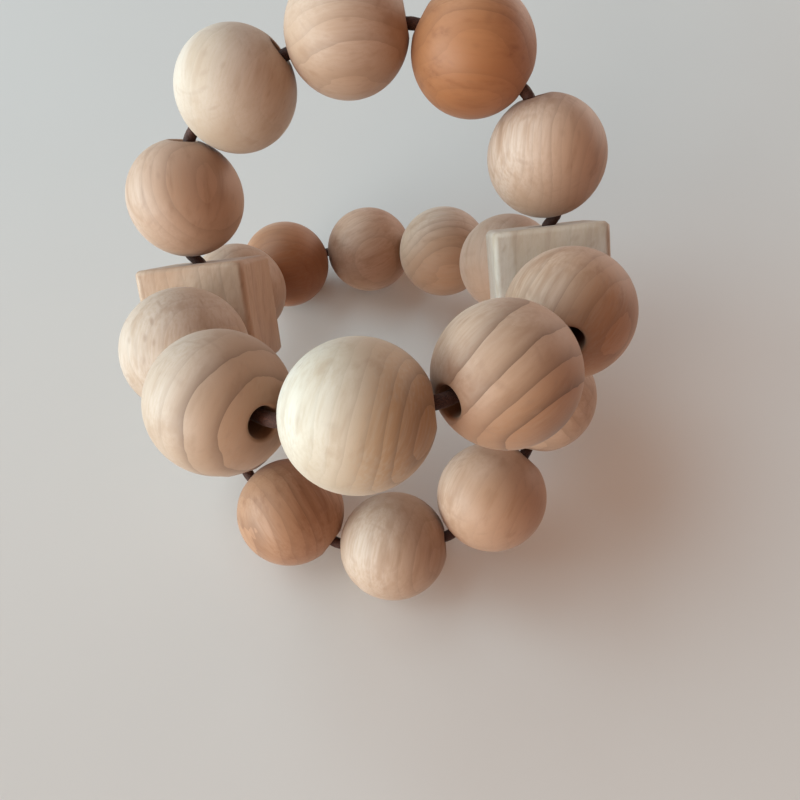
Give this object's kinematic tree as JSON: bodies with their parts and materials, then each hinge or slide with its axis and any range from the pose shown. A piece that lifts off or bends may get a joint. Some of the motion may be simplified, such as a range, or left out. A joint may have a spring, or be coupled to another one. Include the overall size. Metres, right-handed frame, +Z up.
{
  "type": "baby rattle",
  "caption": "Wooden baby rattle: round beads and two end cubes strung on crossed elastic cord loops that make an open ball of bead arches to hold, squeeze and shake.",
  "frame": {"origin": "on the table under the rattle, at the middle of its outline seen from above", "axes": "+Z up from the table, +X from the left cube toward the right cube as projected on the table, -Y toward the front"},
  "size_m": [0.085, 0.0962, 0.0809],
  "materials": {
    "bead_wood": "sanded beech, unpainted, faint satin seal",
    "cube_wood": "sanded beech, unpainted, faint satin seal",
    "cord": "dark brown braided elastic cord"
  },
  "bodies": {
    "cubes": {"left_cube": "cube_wood", "right_cube": "cube_wood", "left_loop_1_cord": "cord", "left_loop_2_cord": "cord", "right_loop_1_cord": "cord", "right_loop_2_cord": "cord"},
    "upper_back_arch": {"upper_back_cord": "cord"},
    "upper_front_arch": {"upper_front_cord": "cord"},
    "lower_front_arch": {"lower_front_cord": "cord"},
    "lower_back_arch": {"lower_back_cord": "cord"},
    "upper_back_bead_1": {"upper_back_bead_1": "bead_wood"},
    "upper_back_bead_2": {"upper_back_bead_2": "bead_wood"},
    "upper_back_bead_3": {"upper_back_bead_3": "bead_wood"},
    "upper_back_bead_4": {"upper_back_bead_4": "bead_wood"},
    "upper_back_bead_5": {"upper_back_bead_5": "bead_wood"},
    "upper_front_bead_1": {"upper_front_bead_1": "bead_wood"},
    "upper_front_bead_2": {"upper_front_bead_2": "bead_wood"},
    "upper_front_bead_3": {"upper_front_bead_3": "bead_wood"},
    "upper_front_bead_4": {"upper_front_bead_4": "bead_wood"},
    "upper_front_bead_5": {"upper_front_bead_5": "bead_wood"},
    "lower_front_bead_1": {"lower_front_bead_1": "bead_wood"},
    "lower_front_bead_2": {"lower_front_bead_2": "bead_wood"},
    "lower_front_bead_3": {"lower_front_bead_3": "bead_wood"},
    "lower_front_bead_4": {"lower_front_bead_4": "bead_wood"},
    "lower_front_bead_5": {"lower_front_bead_5": "bead_wood"},
    "lower_back_bead_1": {"lower_back_bead_1": "bead_wood"},
    "lower_back_bead_2": {"lower_back_bead_2": "bead_wood"},
    "lower_back_bead_3": {"lower_back_bead_3": "bead_wood"},
    "lower_back_bead_4": {"lower_back_bead_4": "bead_wood"},
    "lower_back_bead_5": {"lower_back_bead_5": "bead_wood"}
  },
  "joints": [
    {"name": "upper_back_swing", "type": "hinge", "parent": "cubes", "child": "upper_back_arch", "pos_m": [-0.0001, 0.00682, 0.04368], "axis": [0.9859, 0, 0.1676], "range_deg": [-33.5, 16.5], "stiffness_Nm_per_rad": 0.3},
    {"name": "upper_front_swing", "type": "hinge", "parent": "cubes", "child": "upper_front_arch", "pos_m": [-0.00005, -0.00661, 0.04336], "axis": [-0.9859, 0, -0.1676], "range_deg": [-9, 41], "stiffness_Nm_per_rad": 0.3},
    {"name": "lower_front_swing", "type": "hinge", "parent": "cubes", "child": "lower_front_arch", "pos_m": [0.00221, -0.00629, 0.03012], "axis": [-0.9859, 0, -0.1676], "range_deg": [-38, 12], "stiffness_Nm_per_rad": 0.3},
    {"name": "lower_back_swing", "type": "hinge", "parent": "cubes", "child": "lower_back_arch", "pos_m": [0.00215, 0.00714, 0.03044], "axis": [0.9859, 0, 0.1676], "range_deg": [-36, 14], "stiffness_Nm_per_rad": 0.3},
    {"name": "upper_back_bead_1_spin", "type": "hinge", "parent": "upper_back_arch", "child": "upper_back_bead_1", "pos_m": [-0.03252, 0.01338, 0.04762], "axis": [0.0521, 0.5651, 0.8234], "continuous": true},
    {"name": "upper_back_bead_2_spin", "type": "hinge", "parent": "upper_back_arch", "child": "upper_back_bead_2", "pos_m": [-0.02238, 0.02265, 0.06271], "axis": [0.7802, 0.2918, 0.5533], "continuous": true},
    {"name": "upper_back_bead_3_spin", "type": "hinge", "parent": "upper_back_arch", "child": "upper_back_bead_3", "pos_m": [-0.00404, 0.02618, 0.07092], "axis": [0.9711, 0.0476, 0.2337], "continuous": true},
    {"name": "upper_back_bead_4_spin", "type": "hinge", "parent": "upper_back_arch", "child": "upper_back_bead_4", "pos_m": [0.01613, 0.02324, 0.07011], "axis": [0.8786, -0.3378, -0.3376], "continuous": true},
    {"name": "upper_back_bead_5_spin", "type": "hinge", "parent": "upper_back_arch", "child": "upper_back_bead_5", "pos_m": [0.02939, 0.01338, 0.05815], "axis": [0.2966, -0.5677, -0.768], "continuous": true},
    {"name": "upper_front_bead_1_spin", "type": "hinge", "parent": "upper_front_arch", "child": "upper_front_bead_1", "pos_m": [-0.02942, -0.01671, 0.04373], "axis": [0.1254, -0.8672, 0.4818], "continuous": true},
    {"name": "upper_front_bead_2_spin", "type": "hinge", "parent": "upper_front_arch", "child": "upper_front_bead_2", "pos_m": [-0.02082, -0.0324, 0.05352], "axis": [0.6975, -0.577, 0.425], "continuous": true},
    {"name": "upper_front_bead_3_spin", "type": "hinge", "parent": "upper_front_arch", "child": "upper_front_bead_3", "pos_m": [-0.00225, -0.03813, 0.05973], "axis": [0.9887, 0.051, 0.141], "continuous": true},
    {"name": "upper_front_bead_4_spin", "type": "hinge", "parent": "upper_front_arch", "child": "upper_front_bead_4", "pos_m": [0.01715, -0.0318, 0.05966], "axis": [0.8375, 0.5286, -0.1383], "continuous": true},
    {"name": "upper_front_bead_5_spin", "type": "hinge", "parent": "upper_front_arch", "child": "upper_front_bead_5", "pos_m": [0.02953, -0.01671, 0.05375], "axis": [0.251, 0.872, -0.4204], "continuous": true},
    {"name": "lower_front_bead_1_spin", "type": "hinge", "parent": "lower_front_arch", "child": "lower_front_bead_1", "pos_m": [-0.02681, -0.01581, 0.01883], "axis": [0.2751, -0.8204, -0.5013], "continuous": true},
    {"name": "lower_front_bead_2_spin", "type": "hinge", "parent": "lower_front_arch", "child": "lower_front_bead_2", "pos_m": [-0.0149, -0.03044, 0.01107], "axis": [0.796, -0.557, -0.2368], "continuous": true},
    {"name": "lower_front_bead_3_spin", "type": "hinge", "parent": "lower_front_arch", "child": "lower_front_bead_3", "pos_m": [0.0044, -0.03696, 0.01], "axis": [0.9859, 0, 0.1676], "continuous": true},
    {"name": "lower_front_bead_4_spin", "type": "hinge", "parent": "lower_front_arch", "child": "lower_front_bead_4", "pos_m": [0.02226, -0.03044, 0.01739], "axis": [0.6731, 0.557, 0.4865], "continuous": true},
    {"name": "lower_front_bead_5_spin", "type": "hinge", "parent": "lower_front_arch", "child": "lower_front_bead_5", "pos_m": [0.03094, -0.01581, 0.02865], "axis": [0.1455, 0.8111, 0.5666], "continuous": true},
    {"name": "lower_back_bead_1_spin", "type": "hinge", "parent": "lower_back_arch", "child": "lower_back_bead_1", "pos_m": [-0.02777, 0.01674, 0.01911], "axis": [0.2019, 0.8367, -0.5091], "continuous": true},
    {"name": "lower_back_bead_2_spin", "type": "hinge", "parent": "lower_back_arch", "child": "lower_back_bead_2", "pos_m": [-0.0194, 0.03297, 0.01], "axis": [0.6457, 0.6858, -0.3357], "continuous": true},
    {"name": "lower_back_bead_3_spin", "type": "hinge", "parent": "lower_back_arch", "child": "lower_back_bead_3", "pos_m": [0.00033, 0.03813, 0.01], "axis": [0.9058, -0.268, 0.3281], "continuous": true},
    {"name": "lower_back_bead_4_spin", "type": "hinge", "parent": "lower_back_arch", "child": "lower_back_bead_4", "pos_m": [0.01712, 0.02993, 0.01818], "axis": [0.7933, -0.4401, 0.4207], "continuous": true},
    {"name": "lower_back_bead_5_spin", "type": "hinge", "parent": "lower_back_arch", "child": "lower_back_bead_5", "pos_m": [0.0286, 0.01674, 0.0287], "axis": [0.226, -0.7989, 0.5573], "continuous": true}
  ]
}
